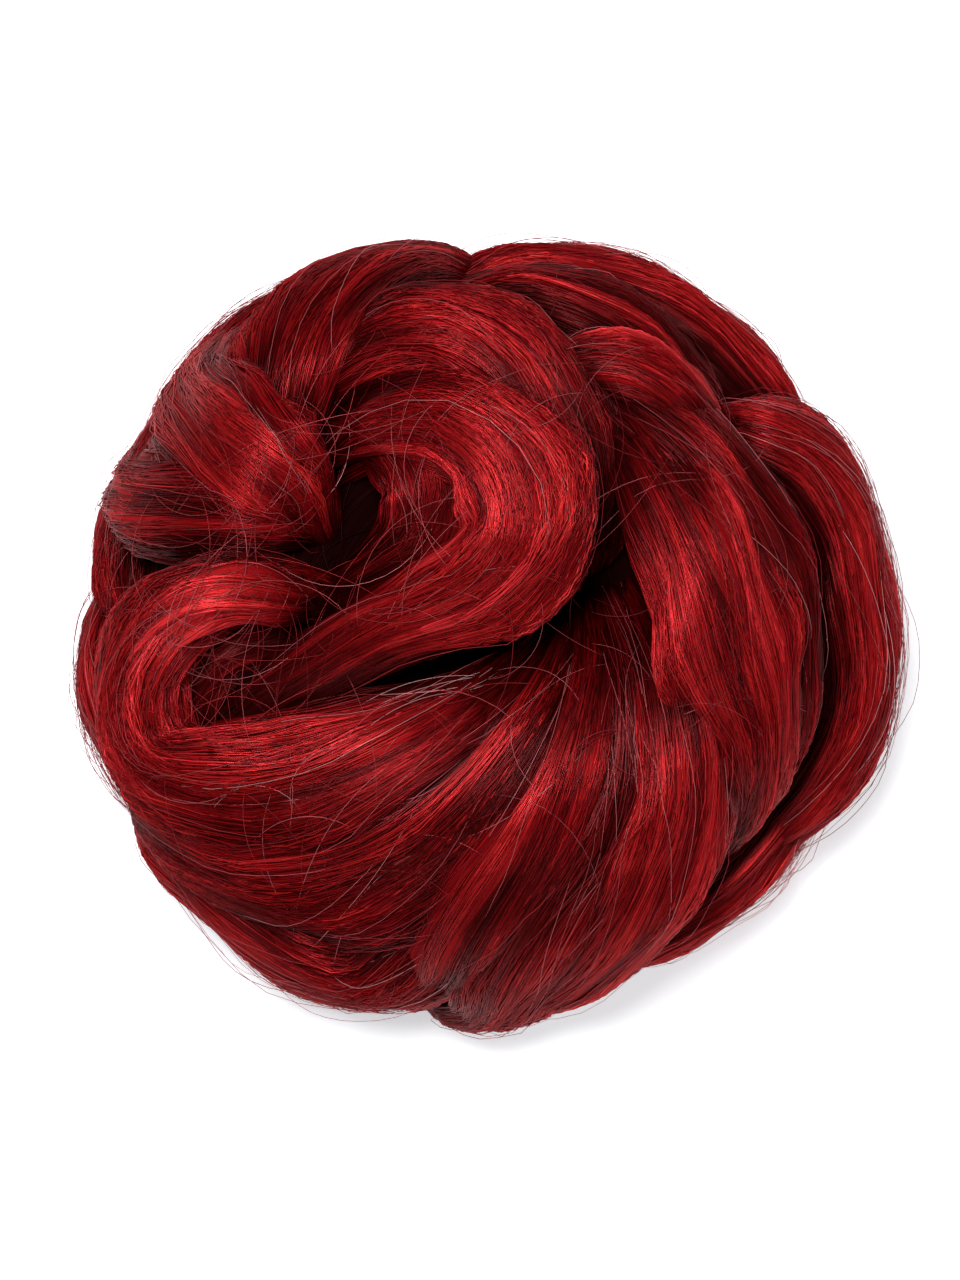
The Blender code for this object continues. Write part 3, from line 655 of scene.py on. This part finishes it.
def tress_strands(tress, count, tone, apart, ends, others):
    """Strands combed along a tress in locks, less those that lie hidden under its neighbours."""
    rings = RINGS_PER_ROW * tress.last + 2
    locks = max(8, count // STRANDS_IN_LOCK)
    lock_theta = (np.arange(locks) + rng.uniform(0, 1, locks)) * 2 * math.pi / locks
    lock_lift = rng.uniform(0.0, 0.075, locks) * apart
    lock_drift = rng.normal(0, 0.20, locks) * apart
    lock_spread = rng.uniform(0.05, 0.16, locks) * apart
    lock_bend = rng.uniform(0, 2 * math.pi, locks)
    lock_tone = rng.normal(0, 0.09, locks)
    lock_start = rng.uniform(-0.20, 0.06, locks)
    lock_end = rng.uniform(0.94, 1.20, locks)

    wanted = count * 4
    lock = rng.integers(0, locks, wanted)
    s = np.linspace(0, 1, rings)[None]
    begin = (lock_start[lock] + rng.normal(0, 0.04, wanted))[:, None]
    finish = (lock_end[lock] + rng.normal(0, 0.04, wanted))[:, None]
    share = begin + (finish - begin) * s
    t = np.clip(share * tress.last, -STRAND_OVERRUN, tress.last + STRAND_OVERRUN)
    gather = 0.45 + 0.55 * np.clip(np.sin(np.pi * np.clip(share, 0, 1)), 0, 1) ** 0.7
    spread = rng.normal(0, 1, wanted)
    rate, turn = rng.uniform(1, 4, wanted), rng.uniform(0, 6, wanted)
    theta = (
        lock_theta[lock][:, None]
        + lock_drift[lock][:, None] * (share - 0.5) * 2
        + 0.04 * np.sin(2.0 * t + lock_bend[lock][:, None])
        + (spread * lock_spread[lock])[:, None] * gather * 1.6
        + 0.012 * np.sin(rate[:, None] * t + turn[:, None])
    )
    dome = np.exp(-0.5 * spread**2)
    scale = (
        1.0
        + (lock_lift[lock] * (0.4 + 0.6 * dome))[:, None] * np.sin(np.pi * s) ** 0.5
        + rng.normal(0, 0.010, wanted)[:, None]
    )
    paths, facing = tress.surface(t, theta, scale)
    paths[..., 2] = np.maximum(paths[..., 2], LOWEST_STRAND)

    covered = nearest(paths + facing * HIDDEN_REACH, others) < HIDDEN_NEARNESS
    hidden = (facing[..., 2] < -0.5) | covered
    good = np.nonzero(1 - hidden.mean(1) > LEAST_SEEN)[0][:count]
    paths, facing, lock, share = paths[good], facing[good], lock[good], share[good]
    theta, t = theta[good], t[good]
    found = len(good)
    radius = STRAND_RADIUS * rng.uniform(0.75, 1.25, found)
    shade = (0.5 + tone + lock_tone[lock] + rng.normal(0, 0.12, found))[:, None]
    # Each strand's shade takes painted light and shade: lighter ridges, darker grooves and darker
    # ends.
    shade = shade + run_painted_shade(share, ends) + tress.tone(theta, t)
    # Painted shade darkens the strands in the creases between tresses.
    shade = shade - CREASE_PAINTED_SHADE * painted_crease_shade(paths, facing, others)
    tubes = strand_tubes(paths, facing, tapered(found, rings, radius), shade)
    return (*tubes, np.full(len(tubes[0]), 0.5))


def hair_piece(name, parts, materials):
    """One object of parts, each points, quads, triangles, UVs, tones and a material's number."""
    points, quads, triangles, uvs, tones, quad_paint, triangle_paint = ([] for _ in range(7))
    first = 0
    for part_points, part_quads, part_triangles, part_uvs, part_tones, paint in parts:
        points.append(part_points)
        quads.append(part_quads + first)
        triangles.append(part_triangles + first)
        uvs.append(part_uvs)
        tones.append(part_tones)
        quad_paint.append(np.full(len(part_quads), paint))
        triangle_paint.append(np.full(len(part_triangles), paint))
        first += len(part_points)
    return new_mesh(
        name,
        np.concatenate(points),
        np.concatenate(quads),
        np.concatenate(triangles),
        np.concatenate(uvs),
        np.concatenate(quad_paint + triangle_paint),
        materials,
        np.concatenate(tones),
    )


# Materials.

HAIR_STOPS = (
    (0.00, (0.018, 0.0003, 0.0005)),
    (0.28, (0.075, 0.0010, 0.0015)),
    (0.44, (0.150, 0.0020, 0.0041)),
    (0.52, (0.190, 0.0035, 0.0028)),
    (0.60, (0.240, 0.0040, 0.0080)),
    (0.68, (0.305, 0.0085, 0.0070)),
    (0.78, (0.395, 0.0110, 0.0160)),
    (0.88, (0.500, 0.0210, 0.0180)),
    (1.00, (0.630, 0.0300, 0.0400)),
)
# The gloss of dyed hair is tinted, and partly metallic so that it stays crimson.
SHEEN_TINT = (1.0, 0.24, 0.25)
HAIR_METALLIC = 0.35
STREAK_TONE = 0.9


def new_material(name):
    made = bpy.data.materials.new(name)
    made.use_nodes = True
    nodes = made.node_tree.nodes
    return made, nodes, made.node_tree.links, nodes["Principled BSDF"]


def set_values(node, values):
    for socket, value in values.items():
        node.inputs[socket].default_value = value


def add_maths(nodes, operation, value):
    """A maths node with a value in its second socket."""
    made = nodes.new("ShaderNodeMath")
    made.operation = operation
    made.inputs[1].default_value = value
    return made


def fill_ramp(ramp, stops):
    elements = ramp.color_ramp.elements
    while len(elements) > 1:
        elements.remove(elements[-1])
    elements[0].position = stops[0][0]
    elements[0].color = (*stops[0][1], 1)
    for position, colour in stops[1:]:
        elements.new(position).color = (*colour, 1)


def set_gloss(shader, roughness, level, tint):
    set_values(shader, {
        "Roughness": roughness,
        "Specular IOR Level": level,
        "Specular Tint": (*tint, 1),
        "Metallic": HAIR_METALLIC,
    })


def strand_material(name, stops, roughness, level=0.40):
    """Glossy single hairs: the shade is picked by the strand's own UV."""
    made, nodes, links, shader = new_material(name)
    place = nodes.new("ShaderNodeUVMap")
    place.uv_map = "OFBake"
    parts = nodes.new("ShaderNodeSeparateXYZ")
    spread = add_maths(nodes, "DIVIDE", STRAND_U)
    ramp = nodes.new("ShaderNodeValToRGB")
    fill_ramp(ramp, stops)
    links.new(place.outputs["UV"], parts.inputs["Vector"])
    links.new(parts.outputs["X"], spread.inputs[0])
    links.new(spread.outputs[0], ramp.inputs["Fac"])
    links.new(ramp.outputs["Color"], shader.inputs["Base Color"])
    set_gloss(shader, roughness, level, SHEEN_TINT)
    return made


def core_material(name, stops, roughness, level, streaks=190, depth=0.0003):
    """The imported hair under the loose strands: fine streaks of tone and relief along the tress."""
    made, nodes, links, shader = new_material(name)
    place = nodes.new("ShaderNodeUVMap")
    place.uv_map = "OFBake"
    stretch = nodes.new("ShaderNodeMapping")
    stretch.inputs["Scale"].default_value = (streaks, 2.5, 1.0)
    streak = nodes.new("ShaderNodeTexNoise")
    streak.noise_dimensions = "2D"
    set_values(streak, {
        "Scale": 1.0,
        "Detail": 3.0,
        "Roughness": 0.65,
        "Distortion": 0.35,
    })
    ramp = nodes.new("ShaderNodeValToRGB")
    fill_ramp(ramp, stops)
    relief = nodes.new("ShaderNodeBump")
    set_values(relief, {"Strength": 0.7, "Distance": depth})
    # The tone attribute carries the hair's own tone with painted light and shade: lighter ridges,
    # and darker grooves, creases, tress ends and bed top.
    tone = nodes.new("ShaderNodeVertexColor")
    tone.layer_name = "tone"
    streaked = add_maths(nodes, "MULTIPLY_ADD", STREAK_TONE)
    centred = add_maths(nodes, "SUBTRACT", STREAK_TONE / 2)
    links.new(place.outputs["UV"], stretch.inputs["Vector"])
    links.new(stretch.outputs["Vector"], streak.inputs["Vector"])
    links.new(streak.outputs["Fac"], streaked.inputs[0])
    links.new(tone.outputs["Color"], streaked.inputs[2])
    links.new(streaked.outputs[0], centred.inputs[0])
    links.new(centred.outputs[0], ramp.inputs["Fac"])
    links.new(ramp.outputs["Color"], shader.inputs["Base Color"])
    links.new(streak.outputs["Fac"], relief.inputs["Height"])
    links.new(relief.outputs["Normal"], shader.inputs["Normal"])
    set_gloss(shader, roughness, level, SHEEN_TINT)
    return made


HAIR_STRAND = strand_material("hair_strand", HAIR_STOPS, 0.30)
HAIR_CORE = core_material("hair_core", HAIR_STOPS, 0.45, level=0.08)
# The under-hair's colours are painted darker than the tresses' as shade, since it lies under them.
UNDER_SHADED_STOPS = (
    (0.0, (0.004, 0.0001, 0.0002)),
    (0.5, (0.055, 0.0009, 0.0013)),
    (1.0, (0.200, 0.0040, 0.0050)),
)
UNDER_STRAND = strand_material("under_hair_strand", UNDER_SHADED_STOPS, 0.5, 0.3)
UNDER_CORE = core_material("under_hair_core", UNDER_SHADED_STOPS, 0.7, 0.08, 240)
STRAY = strand_material(
    "stray_hair",
    (
        (0.0, (0.110, 0.0060, 0.0080)),
        (0.5, (0.280, 0.0200, 0.0240)),
        (0.9, (0.430, 0.1050, 0.1150)),
        (1.0, (0.480, 0.2800, 0.2800)),
    ),
    0.4,
)

# The tresses.

GUIDES = {name: Tress(rows) for name, rows in TRESSES.items()}
LOCK_GUIDES = [Tress(rows) for *_, rows in LOCKS]
for name, tress in GUIDES.items():
    count, tone, apart, *ends = DRESSING[name]
    others = [other for key, other in GUIDES.items() if key != name]
    parts = [
        (*tress_body(tress, tone, ends, others), 0),
        (*tress_strands(tress, count, tone, apart, ends, others), 1),
    ]
    for (owner, lock_count, lock_tone, lock_ends, _), lock in zip(LOCKS, LOCK_GUIDES):
        if owner == name:
            parts.append((*tress_body(lock, lock_tone, lock_ends, others, 0.86, 0.99), 0))
            strands = tress_strands(lock, lock_count, lock_tone, LOOSE_APART, lock_ends, others)
            parts.append((*strands, 1))
    piece = hair_piece(name + "_hair", parts, (HAIR_CORE, HAIR_STRAND))
    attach(piece, "root")
    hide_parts(name)

# The under-hair, wound round the opening.

WALL = BAND_OPENING_RADIUS + BAND_PROUD
# Its section: shares of the way out from the wall to the bun's radius and of the bun's height.
UNDER_HAIR = [
    (-0.4334, 0.44),
    (-0.20, 0.43),
    (-0.05, 0.38),
    (0.00, 0.28),
    (0.00, 0.09),
    (0.06, 0.00),
    (0.62, 0.00),
    (0.72, 0.02),
    (0.82, 0.12),
    (0.84, 0.28),
    (0.77, 0.45),
    (0.62, 0.60),
    (0.42, 0.66),
    (0.20, 0.64),
    (-0.05, 0.58),
    (-0.4334, 0.55),
]
UNDER_AROUND = 120
UNDER_ALONG = 62
UNDER_STRANDS = 580
UNDER_RINGS = 16


def under_profile(t):
    """Radius and level of the bed's surface at places along its section."""
    values = smooth(UNDER_HAIR, t)
    radius = WALL + values[..., 0] * (BUN_RADIUS - WALL)
    return np.maximum(radius, 0.0), np.maximum(values[..., 1] * BUN_HEIGHT, 0.0)


def bed_painted_shade(t):
    """The bed's tone at places along its section: painted shade, black on top, down in the hollows.
    """
    return 0.55 - 0.9 * np.clip((t - 9.5) / 1.5, 0, 1)


def under_body():
    """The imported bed, turned from its section, with shallow grooves along the winding."""
    t = np.linspace(0, len(UNDER_HAIR) - 1, UNDER_ALONG)
    turn = np.linspace(0, 2 * math.pi, UNDER_AROUND + 1)[:-1]
    grid_t, grid_turn = np.meshgrid(t, turn, indexing="ij")
    radius, level = under_profile(grid_t)
    wave = 0.0004 * np.sin(grid_t * 9 + np.sin(3 * grid_turn)) * np.clip(radius / 0.02, 0, 1)
    radius = np.maximum(radius + wave - 0.0004, 0)
    points = np.stack((radius * np.cos(grid_turn), radius * np.sin(grid_turn), level), -1)
    uvs = np.empty(points.shape[:2] + (2,))
    uvs[..., 0] = 0.24 + 0.74 * np.linspace(0, 1, UNDER_ALONG)[:, None]
    uvs[..., 1] = 1 - np.abs(1 - 2 * np.arange(UNDER_AROUND) / UNDER_AROUND)[None]
    quads, _ = tube_faces(1, UNDER_ALONG, UNDER_AROUND)
    # Painted shade: the bed is black on top, down in the hollows.
    tones = bed_painted_shade(grid_t)
    return points.reshape(-1, 3), quads, np.zeros((0, 3), int), uvs.reshape(-1, 2), tones.ravel()


def under_strands():
    """Strands wound round the bed, most of them on its outer side."""
    count = UNDER_STRANDS
    start = rng.uniform(0, 2 * math.pi, count)
    sweep = rng.uniform(0.5, 1.5, count)
    s = np.linspace(0, 1, UNDER_RINGS)[None]
    zone = rng.uniform(0.5, 14.5, count)
    outer = rng.random(count) < 0.6
    zone = np.where(outer, rng.uniform(6.0, 10.8, count), zone)
    t = (
        zone[:, None]
        + rng.normal(0, 0.35, count)[:, None] * (s - 0.5) * 2
        + 0.12 * np.sin(5 * s + start[:, None])
    )
    t = np.clip(t, 0.4, len(UNDER_HAIR) - 1.4)
    turn = start[:, None] + sweep[:, None] * s
    radius, level = under_profile(t)
    ahead_radius, ahead_level = under_profile(t + 0.02)
    slope = unit(np.stack((ahead_radius - radius, ahead_level - level), -1))
    out, up = slope[..., 1], -slope[..., 0]
    lift = rng.uniform(0.0, 0.0007, count)[:, None]
    radius = radius + out * lift
    level = np.maximum(level + up * lift, 0.0003)
    cos, sin = np.cos(turn), np.sin(turn)
    paths = np.stack((radius * cos, radius * sin, level), -1)
    facing = np.stack((out * cos, out * sin, up), -1)
    sizes = STRAND_RADIUS * 1.3 * rng.uniform(0.8, 1.3, count)
    # Painted shade: the strands are black on the bed's top, down in the hollows.
    shade = rng.normal(0, 0.15, count)[:, None] + bed_painted_shade(t)
    tubes = strand_tubes(paths, facing, tapered(count, UNDER_RINGS, sizes), shade)
    return (*tubes, np.full(len(tubes[0]), 0.5))


bed_parts = [(*under_body(), 0), (*under_strands(), 1)]
bed = hair_piece("under_hair_wound", bed_parts, (UNDER_CORE, UNDER_STRAND))
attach(bed, "root")
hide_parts("under_hair")

# The elastic band, a ribbed woven ring.


def band_mesh():
    """A closed cord with slanting ribs."""
    around, sides = 240, 20
    turn = np.linspace(0, 2 * math.pi, around + 1)[:-1]
    side = np.linspace(0, 2 * math.pi, sides + 1)[:-1]
    grid_turn, grid_side = np.meshgrid(turn, side, indexing="ij")
    rib = 0.00016 * np.cos(60 * grid_turn + 2 * grid_side)
    cord = BAND_CORD_RADIUS - 0.00018 + rib
    major = BAND_OPENING_RADIUS + BAND_CORD_RADIUS
    radius = major + cord * np.cos(grid_side)
    points = np.stack(
        (
            radius * np.cos(grid_turn),
            radius * np.sin(grid_turn),
            BAND_HEIGHT + cord * np.sin(grid_side),
        ),
        -1,
    ).reshape(-1, 3)
    ring = np.arange(around)[:, None]
    spoke = np.arange(sides)[None]
    ahead = (spoke + 1) % sides
    following = (ring + 1) % around
    quads = np.stack(
        (
            ring * sides + spoke,
            following * sides + spoke,
            following * sides + ahead,
            ring * sides + ahead,
        ),
        -1,
    ).reshape(-1, 4)
    fold_turn = 1 - np.abs(1 - 2 * np.arange(around) / around)
    fold_side = 1 - np.abs(1 - 2 * np.arange(sides) / sides)
    uvs = np.stack(np.meshgrid(fold_turn, fold_side, indexing="ij"), -1).reshape(-1, 2)
    return points, quads, uvs


def band_material():
    """A dull woven sheath of small dark cells."""
    made, nodes, links, shader = new_material("elastic_sheath")
    place = nodes.new("ShaderNodeUVMap")
    place.uv_map = "OFBake"
    stretch = nodes.new("ShaderNodeMapping")
    stretch.inputs["Scale"].default_value = (260, 22, 1)
    weave = nodes.new("ShaderNodeTexVoronoi")
    weave.voronoi_dimensions = "2D"
    weave.inputs["Scale"].default_value = 1.0
    ramp = nodes.new("ShaderNodeValToRGB")
    fill_ramp(ramp, ((0.0, (0.070, 0.0030, 0.0065)), (0.8, (0.018, 0.0008, 0.0020))))
    relief = nodes.new("ShaderNodeBump")
    relief.invert = True
    set_values(relief, {"Strength": 0.6, "Distance": 0.0002})
    links.new(place.outputs["UV"], stretch.inputs["Vector"])
    links.new(stretch.outputs["Vector"], weave.inputs["Vector"])
    links.new(weave.outputs["Distance"], ramp.inputs["Fac"])
    links.new(ramp.outputs["Color"], shader.inputs["Base Color"])
    links.new(weave.outputs["Distance"], relief.inputs["Height"])
    links.new(relief.outputs["Normal"], shader.inputs["Normal"])
    set_values(shader, {"Roughness": 0.8, "Sheen Weight": 0.4})
    return made


band_points, band_quads, band_uvs = band_mesh()
band_paint = (band_material(),)
band = new_mesh("elastic_band_sheath", band_points, band_quads, (), band_uvs, None, band_paint)
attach(band, "root")
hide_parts("elastic_band")

# Stray hairs: some lift off their tress, some lie across the tresses and hollows, and some
# stand a little off the rim.

STRAY_POINTS = 13
STRAY_RADIUS = 0.000050
LIFTED_STRAYS = 300
RIM_STRAYS = 220
RIM_TRESSES = (
    "top_right_rim",
    "right_rim",
    "upper_left_rim",
    "left_rim_loop",
    "lower_left_rim",
    "lower_right_rim",
    "bottom_fall",
)
ANY_WAY = math.pi
LONG_STRAY = 0.036
STRAY_DROP = 0.09
STRAY_FLOOR = 0.008
# Where the crossing strays lie: plan centre, spread, count, length in metres, then their heading,
# how far it strays, and the darkest and palest of their shades.
CROSSING_STRAYS = (
    ((-0.28, 0.28), 0.12, 150, 0.030, 0.0, ANY_WAY, 0.05, 0.95),
    ((-0.10, -0.08), 0.12, 20, 0.024, 0.4, 0.9, 0.05, 0.90),
    ((-0.13, -0.165), 0.040, 14, 0.019, 0.30, 0.22, 0.96, 1.0),
    ((-0.62, 0.10), 0.19, 130, 0.034, 0.0, ANY_WAY, 0.05, 0.95),
    ((-0.57, -0.10), 0.12, 40, 0.026, 0.5, 1.2, 0.05, 0.80),
    ((-0.55, -0.40), 0.25, 60, 0.036, 0.0, ANY_WAY, 0.05, 0.95),
    ((0.20, 0.40), 0.35, 50, 0.032, 0.0, ANY_WAY, 0.05, 0.95),
    ((0.60, -0.10), 0.30, 30, 0.030, 0.0, ANY_WAY, 0.05, 0.95),
    ((0.05, -0.60), 0.30, 25, 0.030, 0.0, ANY_WAY, 0.05, 0.95),
)


def along_strays(names, count, lift, low_theta, high_theta):
    """Hairs that lift off a tress, in a band round its section between two angles."""
    paths = np.empty((count, STRAY_POINTS, 3))
    facings = np.empty_like(paths)
    s = np.linspace(0, 1, STRAY_POINTS)
    for k in range(count):
        tress = GUIDES[names[rng.integers(len(names))]]
        middle = rng.uniform(0.15, 0.85)
        span = rng.uniform(0.25, 0.6)
        t = np.clip(middle + span * (s - 0.5), -0.02, 1.02) * tress.last
        theta = rng.uniform(low_theta, high_theta) + rng.normal(0, 0.8) * (s - 0.5)
        rise = abs(rng.normal(0, lift)) + 0.0004
        skew = rng.uniform(0.6, 1.6)
        path, facing = tress.surface(t, theta, np.full(STRAY_POINTS, 1.02))
        path = path + facing * (rise * np.sin(np.pi * s**skew))[:, None]
        path[:, 2] = np.maximum(path[:, 2], 0.001)
        paths[k], facings[k] = path, facing
    return paths, facings, rng.uniform(0.05, 0.95, count)


def hair_top():
    """A tree of the cores' faces, to lay the crossing strays on."""
    points, faces, first = [], [], 0
    for guide in [*GUIDES.values(), *LOCK_GUIDES]:
        body_points, quads, triangles, _, _ = tress_body(guide, 0, (0, 0), [])
        points.extend(body_points.tolist())
        faces.extend((quads + first).tolist())
        faces.extend((triangles + first).tolist())
        first += len(body_points)
    return BVHTree.FromPolygons(points, faces)


def crossing_strays():
    """Hairs that bend over the tresses and hollows, laid on what is under them."""
    tree = hair_top()
    paths, shades = [], []
    s = np.linspace(0, 1, STRAY_POINTS)
    down = Vector((0, 0, -1))
    for (x, y), spread, count, length, aim, sway, dark, pale in CROSSING_STRAYS:
        for _ in range(count):
            middle = (np.array((x, y)) + rng.normal(0, spread, 2) + SHIFT) * BUN_RADIUS
            heading = aim + rng.uniform(-sway, sway)
            bend = rng.choice((-1, 1)) * rng.uniform(0.5, 2.4) * length / LONG_STRAY
            reach = length * rng.uniform(0.4, 1.1)
            angle = heading + bend * (s - 0.5)
            steps = np.stack((np.cos(angle), np.sin(angle)), 1) * reach / (STRAY_POINTS - 1)
            plan = np.cumsum(steps, 0)
            plan += middle - plan[STRAY_POINTS // 2]
            level = np.empty(STRAY_POINTS)
            for k, (px, py) in enumerate(plan):
                hit = tree.ray_cast(Vector((px, py, STRAY_DROP)), down)[0]
                level[k] = hit.z if hit else -1
            if (level < STRAY_FLOOR).any():
                continue
            eased = np.minimum(level[0] + (level[-1] - level[0]) * s, level.max())
            height = np.maximum(level + 0.0003, eased)
            for _ in range(3):
                height[1:-1] = (height[:-2] + 2 * height[1:-1] + height[2:]) / 4
                height = np.maximum(height, level + 0.0002)
            height += rng.uniform(0, 0.0006) * np.sin(np.pi * s)
            paths.append(np.column_stack((plan, height)))
            shades.append(rng.uniform(dark, pale))
    paths = np.array(paths)
    return paths, np.broadcast_to(np.array((0.0, 0.0, 1.0)), paths.shape), np.array(shades)


def stray_hairs():
    sets = (
        along_strays(list(GUIDES), LIFTED_STRAYS, 0.0008, 0.2, math.pi - 0.2),
        along_strays(RIM_TRESSES, RIM_STRAYS, 0.0010, 0.9, math.pi - 0.9),
        crossing_strays(),
    )
    paths, facings, shade = (np.concatenate(group) for group in zip(*sets))
    count = len(paths)
    radii = STRAY_RADIUS * rng.uniform(0.8, 1.2, count)
    radius = tapered(count, STRAY_POINTS, radii, 0.4)
    tubes = strand_tubes(paths, facings, radius, shade[:, None])
    return hair_piece("stray_hairs", [(*tubes, np.full(len(tubes[0]), 0.5), 0)], (STRAY,))


strays = stray_hairs()
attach(strays, "root")

# The floor, the light and the camera.

# A pale round floor with a low wall far out, which glows a little more where the lights don't
# reach, so that the ground stays pale in every view.
FLOOR_RADIUS = 12.0
WALL_HEIGHT = 1.6
STAGE_SIDES = 96
stage_ring = [
    (FLOOR_RADIUS * math.cos(turn), FLOOR_RADIUS * math.sin(turn))
    for turn in np.linspace(0, 2 * math.pi, STAGE_SIDES + 1)[:-1]
]
floor_mesh = bpy.data.meshes.new("floor")
floor_mesh.from_pydata(
    [(x, y, 0) for x, y in stage_ring] + [(x, y, WALL_HEIGHT) for x, y in stage_ring],
    [],
    [tuple(range(STAGE_SIDES))]
    + [
        (k, k + STAGE_SIDES, (k + 1) % STAGE_SIDES + STAGE_SIDES, (k + 1) % STAGE_SIDES)
        for k in range(STAGE_SIDES)
    ],
)
floor = bpy.data.objects.new("floor", floor_mesh)
bpy.context.scene.collection.objects.link(floor)
floor_paint, floor_nodes, floor_links, floor_shader = new_material("floor_paint")
set_values(floor_shader, {
    "Base Color": (0.80, 0.81, 0.83, 1),
    "Roughness": 0.9,
    "Specular IOR Level": 0.1,
    "Emission Color": (0.95, 0.97, 1.0, 1),
})
floor_place = floor_nodes.new("ShaderNodeNewGeometry")
floor_reach = floor_nodes.new("ShaderNodeVectorMath")
floor_reach.operation = "LENGTH"
floor_glow = floor_nodes.new("ShaderNodeMapRange")
set_values(floor_glow, {
    "From Min": 0.15,
    "From Max": 1.2,
    "To Min": 0.45,
    "To Max": 0.88,
})
floor_links.new(floor_place.outputs["Position"], floor_reach.inputs[0])
floor_links.new(floor_reach.outputs["Value"], floor_glow.inputs["Value"])
floor_links.new(floor_glow.outputs["Result"], floor_shader.inputs["Emission Strength"])
floor_mesh.materials.append(floor_paint)

scene = bpy.context.scene
world = bpy.data.worlds.new("studio")
world.use_nodes = True
world.node_tree.nodes["Background"].inputs["Color"].default_value = (1.0, 1.0, 1.0, 1)
world.node_tree.nodes["Background"].inputs["Strength"].default_value = 0.14
scene.world = world


def softbox(name, place, aim, size, power):
    light = bpy.data.lights.new(name, "AREA")
    light.shape = "DISK"
    light.size = size
    light.energy = power
    made = bpy.data.objects.new(name, light)
    made.location = place
    made.rotation_euler = (Vector(aim) - Vector(place)).to_track_quat("-Z", "Y").to_euler()
    scene.collection.objects.link(made)


AIM = (0, 0, 0.03)
softbox("key", (-0.16, 0.12, 1.0), AIM, 0.42, 12.8)
softbox("fill", (0.65, -0.10, 0.7), AIM, 0.4, 1.6)
softbox("front", (-0.15, -0.70, 0.7), AIM, 0.4, 1.6)

CAMERA_ELEVATION = math.radians(80)
CAMERA_DISTANCE = 0.75
CAMERA_TARGET = Vector((0, 0, 0.028))
camera_data = bpy.data.cameras.new("photo_view")
camera = bpy.data.objects.new("photo_view", camera_data)
back = Vector((0, -math.cos(CAMERA_ELEVATION), math.sin(CAMERA_ELEVATION)))
camera.location = CAMERA_TARGET + back * CAMERA_DISTANCE
camera.rotation_euler = (-back).to_track_quat("-Z", "Y").to_euler()
camera_data.sensor_width = 36
camera_data.lens = 134.2
camera_data.shift_x = 0.0
camera_data.shift_y = -0.0125
camera_data.clip_start = 0.01
scene.collection.objects.link(camera)
scene.camera = camera
scene.view_settings.view_transform = "Standard"
